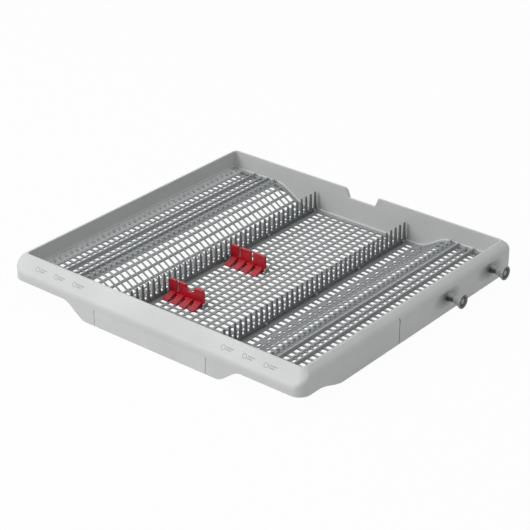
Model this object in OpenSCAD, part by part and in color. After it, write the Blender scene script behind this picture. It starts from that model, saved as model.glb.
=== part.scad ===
// Pull-out cutlery tray for the top level of a dishwasher.
// X runs to the right along the front, Y to the rear, Z up.
// The origin is the middle of the tray's plan, on the surface that it rests on.

/* [Tray] */
// Width over the two side walls
tray_w = 496; // [470:1:520]
// Depth from the front panel to the rear wall
tray_d = 462.6; // [430:0.2:490]
// Height of the walls' top edge
tray_h = 55; // [50:0.5:65]
// Thickness of the moulded walls
wall_t = 2.4; // [2:0.1:3]

/* [Rim] */
// How far the front panel leans out below its top edge
front_slant = 16; // [12:0.5:20]
// How far each side wall's shoulder leans out
side_slant = 10.5; // [8.5:0.5:13]
// How far the rear wall's shoulder leans out
rear_slant = 7.5; // [6:0.5:10]
// Depth of the leaning band of the front panel
front_band_h = 22.3; // [18:0.1:26]
// Depth of the shoulder on the side and rear walls
shoulder_h = 7; // [5:0.5:9]
// Radius of the round crease below the leaning bands
crease_r = 12; // [6:0.5:12]
// Plan radius of the front corners
front_corner_r = 17; // [10:1:22]
// Plan radius of the rear corners
rear_corner_r = 9; // [6:1:14]
// Plan radius of the top edge's corners
edge_corner_r = 7; // [4:1:10]

/* [Skirt] */
// Height of the front panel's lower edge beside the drop
front_skirt_z = 21.5; // [14:0.5:26]
// Height of the lower edge of the side and rear walls
side_skirt_z = 9.5; // [4:0.5:14]
// Distance from the trough's edge to where the front and rear lower edges start to rise
drop_out = 11; // [6:0.5:16]
// Width over which they rise
drop_run = 40; // [30:1:50]
// Distance from the front to where the side's lower edge starts to fall
side_fall_start = 33; // [30:1:60]
// Length over which the side's lower edge falls
side_fall_len = 50; // [30:1:80]

/* [Rear notch] */
// Width of the notch at its bottom
notch_bottom_w = 47; // [30:1:80]
// Width that each end of the notch gains towards the top
notch_flare = 6; // [3:0.5:12]
// Depth of the notch
notch_depth = 14.5; // [8:0.5:18]

/* [Floor] */
// Thickness of the floor panels
floor_t = 2; // [1.6:0.1:2.6]
// Height of the trough's floor
trough_z = 4.5; // [4:0.1:6]
// Height of the two side shelves
shelf_z = 27; // [23:0.5:32]
// Half the width of the flat trough
trough_half_w = 101; // [96:0.5:108]
// Width of each curved slope between the trough and a shelf
slope_w = 53; // [50:0.5:58]
// Distance between the crossbars
bar_pitch = 10.6; // [9.5:0.1:13]
// Width of a crossbar
bar_w = 2.6; // [2:0.1:4]
// Rows of holes on each side of the trough's middle row
trough_rows = 7; // [7:1:8]
// Distance from the outermost row's middle to the trough's edge
trough_margin = 7.9; // [7.5:0.1:10]
// How much narrower a wide hole is than its row
wide_row_rest = 2.3; // [2:0.1:5]
// How much narrower a narrow hole is than its row
narrow_row_rest = 4.8; // [4:0.1:7]
// Starts of the slope's rows of holes, from the trough upwards, as shares of its width
slope_row_at = [0.04, 0.182, 0.336, 0.58, 0.82];
// Widths of those rows, as shares of the slope's width
slope_row_w = [0.108, 0.106, 0.196, 0.178, 0.148];
// Solid margin along the panels' edges
panel_margin = 3; // [2:0.5:5]
// Width of the ledge in the walls that carries the panels
ledge_w = 4; // [3:0.5:6]

/* [Shelf] */
// Distance from a shelf's inner edge to its first row of holes
shelf_row_start = 22.4; // [21:0.2:26]
// Distance between a shelf's rows of holes
shelf_row_pitch = 12.6; // [11:0.2:14]
// Width of the holes beside the tall rails
shelf_hole_w = 9; // [5:0.2:9]
// How much narrower every second row of a shelf's holes is
shelf_hole_less = 2; // [1:0.2:3]
// How much further in a shelf's outermost row of holes starts
outer_row_more = 2.6; // [1:0.2:3]
// Width of the tall rails
rail_w = 3; // [2:0.2:4]
// Height of the tall rails above the shelf
rail_h = 3.8; // [2:0.2:5]
// Height of the low toothed rail above the shelf
tooth_h = 1.8; // [1:0.2:3]
// Width of the row of fins along the wall
cove_w = 15; // [10:0.5:15.5]
// Height of the fins at the wall
cove_h = 4; // [2:0.2:6]
// Thickness of a fin
fin_t = 2.6; // [1.6:0.1:3.4]
// Width of the slots between the fins
slot_w = 6; // [4:0.5:8]
// Width of the strip that joins the fins along the wall
spine_w = 2; // [1:0.1:3]
// Diameter of a peg on the shelf's inner edge
peg_d = 4.4; // [3:0.1:5]
// Height of a peg above the shelf
peg_h = 5; // [3:0.1:8]
// Distance from the shelf's inner edge to the pegs' middle
peg_in = 4.2; // [3.4:0.1:6]
// Thickness of the rib between a peg and the first rail
peg_rib_t = 1.6; // [1:0.1:2.4]
// Height of that rib above the shelf
peg_rib_h = 1.6; // [1:0.1:2.6]

/* [Tine rows] */
// Which of the trough's rows, counted from the middle, carries the tines
tine_row_k = 6; // [5:1:6]
// Diameter of the rod that the tines stand on
rod_d = 5; // [4:0.1:6]
// Height of the rod's axis above the trough's floor
rod_rise = 3.4; // [3.2:0.1:5]
// Height of the rod's flat, which the tines stand on, above its axis
rod_flat = 0.8; // [0.4:0.1:1]
// Length of a tine above the rod's axis
tine_len = 27; // [20:0.5:28]
// Size of a tine's foot across the row
tine_foot_w = 4.4; // [3:0.1:4.6]
// Size of a tine's foot along the row
tine_foot_t = 3.6; // [2:0.1:4]
// Size of a tine's tip, both ways
tine_tip = 2.4; // [1.4:0.1:2.8]
// Thickness of a clip that holds the rod
clip_t = 4; // [3:0.1:5]
// Width of a clip across the row
clip_w = 9; // [8:0.5:9.5]
// Clips along each row
clip_n = 5; // [3:1:8]

/* [Knife holders] */
// Width of a holder's plate
holder_w = 61; // [50:1:70]
// Height of a holder's plate above its pivot
holder_h = 21.5; // [18:0.5:24]
// Thickness of a holder's plate
holder_t = 4; // [3:0.2:4.8]
// Distance from the left tine row's axis to the holders
holder_gap = 7.2; // [7:0.2:12]
// Place of the front holder's pivot along the tray
front_holder_y = -110; // [-140:1:-80]
// Place of the rear holder's pivot along the tray
rear_holder_y = 18; // [-10:1:60]
// Height of a holder's pivot above the trough's floor
holder_rise = 4.2; // [4:0.1:6]
// Diameter of a holder's pivot pin
pin_d = 3; // [2:0.1:3.4]
// Diameter of the barrel round the pin
barrel_d = 5.6; // [5:0.1:6]
// Width of the open notch in a holder's top edge
notch_w = 15; // [10:0.5:18]
// Depth of the open notch
holder_notch_h = 9.5; // [8:0.5:12]
// Width of a blade slit
slit_w = 4.4; // [3:0.2:6]
// Depth of a blade slit
slit_h = 15; // [10:0.5:17]
// Place of the blade slit from the holder's left end
slit_x = 15.5; // [12:0.5:20]
// Place of the second opening from the holder's left end
notch_x = 38; // [35:0.5:41]
// Feet in front of a holder's plate
foot_n = 4; // [3:1:5]
// Width of a foot
foot_w = 10; // [6:0.5:10.5]
// Length of a foot in front of the plate
foot_len = 17; // [10:0.5:20]
// Height of a foot where it meets the plate, above the pivot
foot_h = 4; // [3:0.5:8]

/* [Front grip] */
// Width of the grip strip
grip_w = 192; // [150:1:206]
// Distance from the front panel's round crease down to the grip strip
grip_margin = 5; // [5:0.5:10]
// How far the strip laps behind the front panel
grip_lap = 4.5; // [3:0.5:4.5]

/* [Rollers] */
// Distance from the rear wall's outer face to the rear axles
rear_axle_in = 52.3; // [45:0.1:80]
// Distance between the two axles of a side
axle_pitch = 102; // [80:1:120]
// Depth of the right-hand axles below the walls' top edge
right_axle_drop = 22; // [21:0.5:24]
// Depth of the left-hand axles below the walls' top edge
left_axle_drop = 36; // [31:0.5:38]
// Diameter of a roller's tread
roller_d = 20; // [17:0.5:23]
// How far a roller's outer face stands out from the side wall
roller_reach = 24.5; // [23:0.5:27]
// Width of a roller's tread
tread_w = 3; // [2:0.5:5]
// Depth of the dish in a roller's outer face
dish_depth = 3.4; // [2.8:0.1:4.5]
// How far the hub lies behind a roller's outer face
hub_depth = 2.4; // [2:0.1:2.6]
// Length of the stalk that holds a roller off the wall
stalk_len = 10.5; // [8:0.5:12]
// Diameter of a stalk's end
stalk_d = 10; // [9:0.5:14]
// How much wider a stalk's root is on each side
stalk_flare = 1.5; // [0.5:0.1:2]
// Diameter of a roller's axle
axle_d = 4; // [3:0.1:5]
// Diameter of an axle's head
axle_head_d = 8; // [7:0.1:9]
// Length of the roller carriers, from the seam to the rear wall's outer face
carrier_len = 263.3; // [240:0.1:290]
// How far the carriers reach round the rear corners
carrier_return = 24; // [18:1:40]

/* [Fits] */
// Radial clearance of a part that turns
running_gap = 0.05; // [0.02:0.01:0.1]
// Gap between parts that seat side by side
seat_gap = 0.25; // [0.1:0.05:0.4]
// End play of the turning parts
end_play = 0.4; // [0.2:0.1:0.6]

/* [Hidden] */
$fn = 48;
corner_steps = 6;
slope_steps = 8;
crease_steps = 4;
far = 1000;
past = 1;
bite = 0.4;
lap_t = 2;

grey_light = "#d3d6d5";
grey_floor = "#a7adab";
grey_tine = "#6c7573";
grey_wheel = "#9a9f9e";
red_plastic = "#b3192f";
steel = "#b9bcbf";

// Plan of the walls
half_w = tray_w/2;
half_d = tray_d/2;
in_x = half_w - side_slant - wall_t;
in_front = -half_d + front_slant + wall_t;
in_rear = half_d - rear_slant - wall_t;
in_mid = (in_front + in_rear)/2;

// Lower ends of the round creases, and what starts below them
function crease_drop(slant, band) = crease_r*tan(atan2(slant, band)/2);
front_crease_z = tray_h - front_band_h - crease_drop(front_slant, front_band_h);
shoulder_drop = max(crease_drop(side_slant, shoulder_h), crease_drop(rear_slant, shoulder_h));
seam_drop = 0.5;
carrier_top_z = tray_h - shoulder_h - shoulder_drop - seam_drop;
grip_top_z = front_crease_z - grip_margin;

// Profile of the floor across the tray
shelf_x = trough_half_w + slope_w;
slope_table = [for (i = [0:slope_steps]) let(s = i/slope_steps)
    [trough_half_w + slope_w*s, mixed(trough_z, shelf_z, ease(s))]];
slope_xs = [for (p = slope_table) p[0]];
function floor_z(x) = lookup(abs(x), slope_table);
ledge_t = trough_z - floor_t;
shelf_w = in_x - seat_gap - shelf_x;

// Crossbars, shared by the panels, the pegs and the tines
panel_d = in_rear - in_front - 2*seat_gap;
bar_n = floor((panel_d - 2*panel_margin - bar_w)/bar_pitch);
first_bar_y = in_mid - bar_n*bar_pitch/2;
rail_front = in_front + seat_gap + panel_margin;
rail_len = panel_d - 2*panel_margin;
function bar_y(i) = first_bar_y + i*bar_pitch;

// Tine rows
row_pitch = (trough_half_w - trough_margin)/trough_rows;
tine_x = tine_row_k*row_pitch;
rod_z = trough_z + rod_rise;
rod_r = rod_d/2;
rod_y0 = bar_y(0) - rod_r;
rod_y1 = bar_y(bar_n) + rod_r;

// Knife holders
holder_x = -tine_x + holder_gap;
pivot_z = trough_z + holder_rise;
pin_r = pin_d/2;
barrel_r = barrel_d/2;
ear_t = 1.8;
ear_front = -3.4;
ear_back = 6;
ear_rim = 1.6;
base_t = 1;
base_front = -0.6;

// Rollers
wall_x = half_w - wall_t;
roller_x = half_w + roller_reach;
stalk_x = half_w + stalk_len;
hub_x = roller_x - hub_depth;
axle_r = axle_d/2;
head_t = 1.2;
nut_t = 1;
nut_r = axle_r + 2.6;
boss_r = axle_r + 3;
boss_gap = 3;
boss_x = half_w - side_slant + boss_gap;
right_axle_z = tray_h - right_axle_drop;
left_axle_z = tray_h - left_axle_drop;
rear_roller_y = half_d - rear_axle_in;
front_roller_y = rear_roller_y - axle_pitch;
carrier_seam_y = half_d - carrier_len;

function sorted(v) = len(v) < 2 ? v : let(p = v[0], rest = [for (i = [1:len(v) - 1]) v[i]])
    concat(sorted([for (a = rest) if (a < p) a]), [p], sorted([for (a = rest) if (a > p) a]));
function mirrored(v) = concat([for (a = v) -a], v);
function reversed(v) = [for (i = [len(v) - 1:-1:0]) v[i]];
function flat(v) = [for (part = v) each part];
function ease(s) = s*s*(3 - 2*s);
function mixed(a, b, s) = a*(1 - s) + b*s;
function arc(cx, cy, r, a0, a1, steps) =
    [for (i = [0:steps]) let(a = a0 + (a1 - a0)*i/steps) [cx + r*cos(a), cy + r*sin(a)]];
function box_path(x0, x1, y0, y1) = [[x0, y0], [x1, y0], [x1, y1], [x0, y1]];

// Heights that change along the walls
drop_start = trough_half_w + drop_out;
drop_xs = [for (i = [0:slope_steps]) drop_start + drop_run*i/slope_steps];
function ledge_z(x) = floor_z(x) - floor_t;
function drop_share(x) = ease(min(1, max(0, (abs(x) - drop_start)/drop_run)));
function side_share(y) = ease(min(1, max(0, (y + half_d - side_fall_start)/side_fall_len)));
function notch_top_z(x) =
    lookup(abs(x), [[notch_bottom_w/2, tray_h - notch_depth], [notch_bottom_w/2 + notch_flare, tray_h]]);

// Places round the wall. Each is [run or corner, place or angle, top edge, lower edge, ledge, shares of its sides].
front_xs = sorted(mirrored(concat(drop_xs, slope_xs)));
notch_xs = [notch_bottom_w/2, notch_bottom_w/2 + notch_flare];
rear_xs = sorted(mirrored(concat(drop_xs, notch_xs, slope_xs)));
side_ys = [for (i = [0:slope_steps]) -half_d + side_fall_start + side_fall_len*i/slope_steps];
shelf_ledge_z = shelf_z - floor_t;
front_share = [1, 0, 0];
side_part = [0, 1, 0];
rear_share = [0, 0, 1];
function side_edge_z(y) = front_skirt_z + (side_skirt_z - front_skirt_z)*side_share(y);
function corner_places(signs, a0, edge_z, from, to) = [for (i = [0:corner_steps]) let(s = i/corner_steps)
    [signs, a0 + 90*s, tray_h, edge_z, shelf_ledge_z, from*(1 - s) + to*s]];
places = concat(
    [for (x = front_xs) ["front", x, tray_h, front_skirt_z*drop_share(x), ledge_z(x), front_share]],
    corner_places([1, -1], -90, front_skirt_z, front_share, side_part),
    [for (y = side_ys) ["right", y, tray_h, side_edge_z(y), shelf_ledge_z, side_part]],
    corner_places([1, 1], 0, side_skirt_z, side_part, rear_share),
    [for (x = reversed(rear_xs)) ["rear", x, notch_top_z(x), side_skirt_z*drop_share(x), ledge_z(x), rear_share]],
    corner_places([-1, 1], 90, side_skirt_z, rear_share, side_part),
    [for (y = reversed(side_ys)) ["left", y, tray_h, side_edge_z(y), shelf_ledge_z, side_part]],
    corner_places([-1, -1], 180, front_skirt_z, side_part, front_share));

// A point in plan at a place, from its insets from the outer faces and its front and rear corner radii
function plan_point(p, ins, radii) =
    p[0] == "front" ? [p[1], ins[0] - half_d] :
    p[0] == "rear" ? [p[1], half_d - ins[2]] :
    p[0] == "right" ? [half_w - ins[1], p[1]] :
    p[0] == "left" ? [ins[1] - half_w, p[1]] :
    let(at_front = p[0][1] < 0,
        r = at_front ? radii[0] : radii[1],
        cx = half_w - ins[1] - r,
        cy = half_d - (at_front ? ins[0] : ins[2]) - r)
    [p[0][0]*cx + r*cos(p[1]), p[0][1]*cy + r*sin(p[1])];

// Section of the wall at a place: up the inner face, over the top edge, down the skirt and back underneath
one = [1, 1, 1];
slants = [front_slant, side_slant, rear_slant];
bands = [front_band_h, shoulder_h, shoulder_h];
skirt_radii = [front_corner_r, rear_corner_r];
edge_radii = [edge_corner_r, min(edge_corner_r, rear_corner_r)];
face_radii = [for (r = edge_radii) max(1, r - wall_t)];
ledge_radii = [1, 1];
function at(p, ins, radii, z) = concat(plan_point(p, ins, radii), [z]);
function section(p) =
    let(band = p[5]*bands,
        slant = p[5]*slants,
        lean = atan2(slant, band),
        skin = wall_t/sin(lean),
        low_z = p[2] - band - crease_drop(slant, band),
        face = slants + one*wall_t,
        ledge = face + one*ledge_w,
        skirt_in = [for (r = skirt_radii) r - wall_t],
        inner_r = crease_r - wall_t,
        turns = [for (i = [0:crease_steps]) lean*(1 - i/crease_steps)],
        outer = [for (a = turns) let(s = crease_r*(1 - cos(a))/slant)
            at(p, slants*s, mixed(skirt_radii, edge_radii, s), low_z + crease_r*sin(a))],
        inner = [for (a = reversed(turns)) let(s = inner_r*(1 - cos(a))/(slant - wall_t))
            at(p, mixed(wall_t*one, slants, s), mixed(skirt_in, edge_radii, s), low_z + inner_r*sin(a))])
    concat(
        [at(p, ledge, ledge_radii, p[4]), at(p, face, face_radii, p[4]), at(p, face, face_radii, p[2]),
         at(p, slants, edge_radii, p[2])],
        outer,
        [at(p, 0*one, skirt_radii, p[3]), at(p, wall_t*one, skirt_in, p[3])],
        inner,
        [at(p, slants, edge_radii, p[2] - skin), at(p, slants, edge_radii, p[4] - ledge_t),
         at(p, ledge, ledge_radii, p[4] - ledge_t)]);

// Closed skin over rings of equal length, joined end to end
module ring_skin(rings) {
    m = len(rings);
    n = len(rings[0]);
    corner = function(i, j) (i % m)*n + j % n;
    faces = [for (i = [0:m - 1]) for (j = [0:n - 1])
        each [[corner(i, j), corner(i + 1, j + 1), corner(i, j + 1)],
              [corner(i, j), corner(i + 1, j), corner(i + 1, j + 1)]]];
    polyhedron(flat(rings), faces);
}

module tray_frame() {
    color(grey_light) difference() {
        ring_skin([for (p = places) section(p)]);
        translate([-grip_w/2, -half_d - past, -past]) cube([grip_w, wall_t + 2*past, grip_top_z + past]);
        for (side = [0, 1]) mirror([side, 0, 0]) carrier_cut();
    }
}

// Space that a roller carrier takes in the right-hand wall
module carrier_cut() {
    spare = 0.6;
    reach = wall_t + spare;
    corner = rear_slant - spare;
    translate([0, 0, -past]) linear_extrude(carrier_top_z + past) {
        translate([half_w - reach, carrier_seam_y]) square([reach + past, carrier_len + past]);
        translate([half_w - carrier_return, half_d - reach]) square([carrier_return + past, reach + past]);
        translate([half_w - corner, half_d - corner]) square(corner + past);
    }
}

module front_grip() {
    lap_z = 2;
    color(grey_light) {
        translate([seat_gap - grip_w/2, -half_d, 0]) cube([grip_w - 2*seat_gap, wall_t + bite, grip_top_z]);
        translate([-grip_w/2 - grip_lap, wall_t - half_d, lap_z])
            cube([grip_w + 2*grip_lap, lap_t, grip_top_z + grip_lap - lap_z]);
    }
}

// Flat panel with four-cornered holes
module pierced_panel(outline, holes, t) {
    linear_extrude(t) difference() {
        polygon(outline);
        for (h = holes) polygon(h);
    }
}
function hole(x0, x1, i) = box_path(x0, x1, bar_y(i) + bar_w/2, bar_y(i + 1) - bar_w/2);
function panel_outline(x0, x1) = box_path(x0, x1, in_front + seat_gap, in_rear - seat_gap);

module trough_floor() {
    edge_x = trough_half_w - seat_gap;
    holes = [for (k = [-trough_rows:trough_rows]) if (abs(k) != tine_row_k)
        let(w = row_pitch - (k % 2 == 0 ? narrow_row_rest : wide_row_rest))
            for (i = [0:bar_n - 1]) hole(k*row_pitch - w/2, k*row_pitch + w/2, i)];
    color(grey_floor) translate([0, 0, trough_z - floor_t])
        pierced_panel(panel_outline(-edge_x, edge_x), holes, floor_t);
}

// Panel that follows the floor's curve, with every second hole of its lowest row
module slope() {
    xs = concat([trough_half_w - past], slope_xs, [shelf_x + past]);
    top = [for (x = xs) [x, floor_z(x)]];
    under = [for (x = reversed(xs)) [x, floor_z(x) - floor_t]];
    holes = [for (r = [0:len(slope_row_at) - 1]) for (i = [0:bar_n - 1]) if (r > 0 || i % 2 == 0)
        let(x = trough_half_w + slope_w*slope_row_at[r]) hole(x, x + slope_w*slope_row_w[r], i)];
    color(grey_floor) intersection() {
        translate([0, in_rear, 0]) rotate([90, 0, 0]) linear_extrude(in_rear - in_front) polygon(concat(top, under));
        pierced_panel(panel_outline(trough_half_w, shelf_x - seat_gap), holes, tray_h);
    }
}

module left_slope() { mirror([1, 0, 0]) slope(); }
module right_slope() { slope(); }

// Bar along the tray with a narrower top, standing on a shelf
module rail(x) {
    top_w = rail_w - 1;
    translate([x, rail_front, shelf_z - bite]) rotate([90, 0, 180]) mirror([1, 0, 0])
        linear_extrude(rail_len) polygon([[-rail_w/2, 0], [rail_w/2, 0], [top_w/2, rail_h + bite],
            [-top_w/2, rail_h + bite]]);
}

// Low rail with a tooth over each crossbar
module toothed_rail(x) {
    low = tooth_h/2;
    teeth = flat([for (i = [bar_n:-1:0]) let(y = bar_y(i), h = bar_w/2)
        [[y + h, low], [y + h, tooth_h], [y - h, tooth_h], [y - h, low]]]);
    ends = [[bar_y(0) - bar_w/2 - 1, low], [bar_y(0) - bar_w/2 - 1, -bite],
        [bar_y(bar_n) + bar_w/2 + 1, -bite], [bar_y(bar_n) + bar_w/2 + 1, low]];
    translate([x - rail_w/2, 0, shelf_z]) rotate([90, 0, 90]) linear_extrude(rail_w) polygon(concat(ends, teeth));
}

// Fins along the wall, rising to it from the shelf, on a spine that stops short of the wall's inner corners
module cove() {
    x0 = in_x - seat_gap - cove_w;
    x1 = in_x - seat_gap;
    spine_x = x1 - spine_w;
    h = fin_t/2;
    ys = [for (i = [0:bar_n]) let(y = bar_y(i))
        if (y - h > in_front + face_radii[0] && y + h < in_rear - face_radii[1]) y];
    teeth = flat([for (y = reversed(ys)) [[spine_x, y + h], [x0, y + h], [x0, y - h], [spine_x, y - h]]]);
    back = [[x1, ys[0] - h], [x1, ys[len(ys) - 1] + h]];
    difference() {
        translate([0, 0, shelf_z - bite]) linear_extrude(cove_h + bite) polygon(concat(back, teeth));
        translate([x0, 0, shelf_z]) rotate([0, -atan2(cove_h, cove_w), 0]) translate([-far/2, -far/2, 0])
            cube([far, far, far]);
    }
}

// Round-topped pegs on a strip along the shelf's inner edge, with ribs to the first rail
module pegs(rail_x) {
    strip_w = peg_d + 1;
    strip_h = 1;
    r = peg_d/2;
    tip = 1.2;
    x = shelf_x + peg_in;
    translate([x - strip_w/2, rail_front, shelf_z - bite]) cube([strip_w, rail_len, strip_h + bite]);
    for (i = [0:bar_n]) translate([x, bar_y(i), shelf_z]) rotate_extrude()
        polygon([[0, 0], [r, 0], [r, peg_h - tip], [r - tip/3, peg_h - tip/3], [r - tip, peg_h], [0, peg_h]]);
    for (i = [0:bar_n]) translate([x, bar_y(i) - peg_rib_t/2, shelf_z - bite])
        cube([rail_x - x, peg_rib_t, peg_rib_h + bite]);
}

module shelf() {
    row_rest = 1;
    cove_x = shelf_w - cove_w;
    row_n = floor((cove_x - shelf_row_start - shelf_hole_w/2 - row_rest)/shelf_row_pitch) + 1;
    rows = [for (r = [0:row_n - 1]) let(x = shelf_x + shelf_row_start + r*shelf_row_pitch,
        w = shelf_hole_w - shelf_hole_less*(r % 2)) [x - w/2 - (r == row_n - 1 ? outer_row_more : 0), x + w/2]];
    slot_x = in_x - seat_gap - panel_margin;
    slots = [[slot_x - slot_w, slot_x]];
    holes = [for (row = concat(rows, slots)) for (i = [0:bar_n - 1]) hole(row[0], row[1], i)];
    rail_x = shelf_x + shelf_row_start - shelf_row_pitch/2;
    x1 = in_x - seat_gap;
    y0 = in_front + seat_gap;
    y1 = in_rear - seat_gap;
    outline = [[shelf_x, y0], [x1 - face_radii[0], y0], [x1, y0 + face_radii[0]], [x1, y1 - face_radii[1]],
        [x1 - face_radii[1], y1], [shelf_x, y1]];
    color(grey_floor) union() {
        translate([0, 0, shelf_z - floor_t]) pierced_panel(outline, holes, floor_t);
        rail(rail_x);
        toothed_rail(rail_x + shelf_row_pitch);
        rail(rail_x + 2*shelf_row_pitch);
        cove();
        pegs(rail_x);
    }
}

module left_shelf() { mirror([1, 0, 0]) shelf(); }
module right_shelf() { shelf(); }

// Side panel from the seam to the rear corner, with a boss and a stalk for each axle at height z
module roller_carrier(z) {
    r = rear_corner_r;
    lap = 6;
    y0 = carrier_seam_y + seat_gap;
    x_end = half_w - carrier_return + seat_gap;
    outline = concat([[half_w, y0]], arc(half_w - r, half_d - r, r, 0, 90, corner_steps), [[x_end, half_d]],
        [[x_end, half_d - wall_t]], arc(half_w - r, half_d - r, r - wall_t, 90, 0, corner_steps),
        [[wall_x, y0 + lap], [wall_x - lap_t, y0 + lap], [wall_x - lap_t, y0 - lap], [wall_x, y0 - lap], [wall_x, y0]]);
    spacer_t = 3;
    spacer_ys = [y0 + 2*lap, (front_roller_y + rear_roller_y)/2, rear_roller_y + 4*lap];
    color(grey_light) difference() {
        union() {
            translate([0, 0, side_skirt_z]) linear_extrude(carrier_top_z - side_skirt_z) polygon(outline);
            for (y = [front_roller_y, rear_roller_y]) translate([0, y, z]) rotate([0, 90, 0]) {
                translate([0, 0, boss_x]) cylinder(h = wall_x + bite - boss_x, r = boss_r);
                translate([0, 0, half_w - bite])
                    cylinder(h = stalk_len + bite, r1 = stalk_d/2 + stalk_flare, r2 = stalk_d/2);
            }
            for (y = spacer_ys) translate([half_w - side_slant, y - spacer_t/2, shelf_z])
                cube([side_slant - wall_t + bite, spacer_t, carrier_top_z - shelf_z - 2*wall_t]);
        }
        for (y = [front_roller_y, rear_roller_y]) translate([0, y, z]) rotate([0, 90, 0])
            translate([0, 0, boss_x - past]) cylinder(h = stalk_x - boss_x + 2*past, r = axle_r);
    }
}

module left_roller_carrier() { mirror([1, 0, 0]) roller_carrier(left_axle_z); }
module right_roller_carrier() { roller_carrier(right_axle_z); }

// Axle with a round head that keeps the roller on
module axle(y, z) {
    tail = 0.8;
    chamfer = 0.4;
    head_r = axle_head_d/2;
    x0 = boss_x - nut_t - tail;
    head_x = hub_x + end_play/2;
    color(steel) translate([0, y, z]) rotate([0, 90, 0]) rotate_extrude()
        polygon([[0, x0], [axle_r - chamfer, x0], [axle_r, x0 + chamfer], [axle_r, head_x], [head_r, head_x],
            [head_r, head_x + head_t/2], [head_r - head_t, head_x + head_t], [0, head_x + head_t]]);
}

module left_front_axle() { mirror([1, 0, 0]) axle(front_roller_y, left_axle_z); }
module left_rear_axle() { mirror([1, 0, 0]) axle(rear_roller_y, left_axle_z); }
module right_front_axle() { axle(front_roller_y, right_axle_z); }
module right_rear_axle() { axle(rear_roller_y, right_axle_z); }

// Push-on nuts at the inner ends of a side's axles
module push_nuts(z) {
    for (y = [front_roller_y, rear_roller_y]) translate([boss_x - nut_t, y, z]) rotate([0, 90, 0]) difference() {
        cylinder(h = nut_t, r = nut_r);
        translate([0, 0, -past]) cylinder(h = nut_t + 2*past, r = axle_r);
    }
}

module axle_push_nuts() {
    color(steel) {
        mirror([1, 0, 0]) push_nuts(left_axle_z);
        push_nuts(right_axle_z);
    }
}

// Wheel with a flared back, a narrow tread and a dished outer face round its hub
module roller(y, z) {
    r = roller_d/2;
    edge = 0.6;
    x0 = stalk_x + end_play/2;
    tread_x = roller_x - tread_w;
    rim_t = 2.4;
    dish_x = roller_x - dish_depth;
    hub_rim = 1;
    hub_r = axle_head_d/2 + hub_rim;
    bore_r = axle_r + running_gap;
    color(grey_wheel) translate([0, y, z]) rotate([0, 90, 0]) rotate_extrude()
        polygon([[bore_r, x0], [stalk_d/2, x0], [r - edge, tread_x], [r, tread_x + edge], [r, roller_x - edge],
            [r - edge, roller_x], [r - rim_t, roller_x], [r - rim_t - edge, dish_x], [hub_r, dish_x], [hub_r, hub_x],
            [bore_r, hub_x]]);
}

module left_front_roller() { mirror([1, 0, 0]) roller(front_roller_y, left_axle_z); }
module left_rear_roller() { mirror([1, 0, 0]) roller(rear_roller_y, left_axle_z); }
module right_front_roller() { roller(front_roller_y, right_axle_z); }
module right_rear_roller() { roller(rear_roller_y, right_axle_z); }

// Rod with a flat along its top
module tine_rod() {
    rod_len = rod_y1 - rod_y0;
    color(grey_tine) translate([0, rod_y0, rod_z]) difference() {
        rotate([-90, 0, 0]) cylinder(h = rod_len, r = rod_r);
        translate([-rod_d, -past, rod_flat]) cube([2*rod_d, rod_len + 2*past, rod_d]);
    }
}

module left_tine_rod() { translate([-tine_x, 0, 0]) tine_rod(); }
module right_tine_rod() { translate([tine_x, 0, 0]) tine_rod(); }

// Tine that tapers both ways to a round tip
module tine() {
    tip_r = tine_tip/2;
    foot_x = tine_foot_w/2;
    foot_y = tine_foot_t/2;
    intersection() {
        translate([-foot_x, 0, 0]) rotate([90, 0, 90]) linear_extrude(tine_foot_w)
            polygon(concat([[-foot_y, rod_flat], [foot_y, rod_flat]],
                arc(0, tine_len - tip_r, tip_r, 0, 180, corner_steps)));
        translate([0, foot_y, 0]) rotate([90, 0, 0]) linear_extrude(tine_foot_t)
            polygon([[-foot_x, rod_flat], [foot_x, rod_flat], [tip_r, tine_len], [-tip_r, tine_len]]);
    }
}

// A tine over each crossbar, on the rod's flat
module tines() { color(grey_tine) for (i = [0:bar_n]) translate([0, bar_y(i), rod_z]) tine(); }
module left_tines() { translate([-tine_x, 0, 0]) tines(); }
module right_tines() { translate([tine_x, 0, 0]) tines(); }

// Open-topped clips that the rod snaps into, between tines
module tine_clips() {
    mouth = rod_r*0.55;
    color(grey_floor) for (c = [0:clip_n - 1]) {
        y = bar_y(round((bar_n - 1)*c/(clip_n - 1))) + bar_pitch/2;
        translate([0, y, 0]) difference() {
            translate([-clip_w/2, -clip_t/2, trough_z]) cube([clip_w, clip_t, rod_rise + mouth]);
            translate([0, clip_t, rod_z]) rotate([90, 0, 0]) cylinder(h = 2*clip_t, r = rod_r + running_gap);
        }
    }
}

module left_tine_clips() { translate([-tine_x, 0, 0]) tine_clips(); }
module right_tine_clips() { translate([tine_x, 0, 0]) tine_clips(); }

// Base strip with an ear at each end of a holder
module holder_bracket(y) {
    ear_h = holder_rise + pin_r + ear_rim;
    x0 = -end_play/2 - ear_t;
    x1 = holder_w + end_play/2;
    color(grey_floor) translate([holder_x, y, pivot_z]) difference() {
        union() {
            translate([x0, base_front, -holder_rise]) cube([x1 + ear_t - x0, ear_back - base_front, base_t]);
            for (x = [x0, x1]) translate([x, ear_front, -holder_rise]) cube([ear_t, ear_back - ear_front, ear_h]);
        }
        translate([x0 - past, 0, 0]) rotate([0, 90, 0]) cylinder(h = x1 - x0 + ear_t + 2*past, r = pin_r);
    }
}

module front_holder_bracket() { holder_bracket(front_holder_y); }
module rear_holder_bracket() { holder_bracket(rear_holder_y); }

module holder_pin(y) {
    x0 = -end_play/2 - ear_t;
    color(steel) translate([holder_x + x0, y, pivot_z]) rotate([0, 90, 0])
        cylinder(h = holder_w + end_play + 2*ear_t, r = pin_r);
}

module front_holder_pin() { holder_pin(front_holder_y); }
module rear_holder_pin() { holder_pin(rear_holder_y); }

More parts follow.
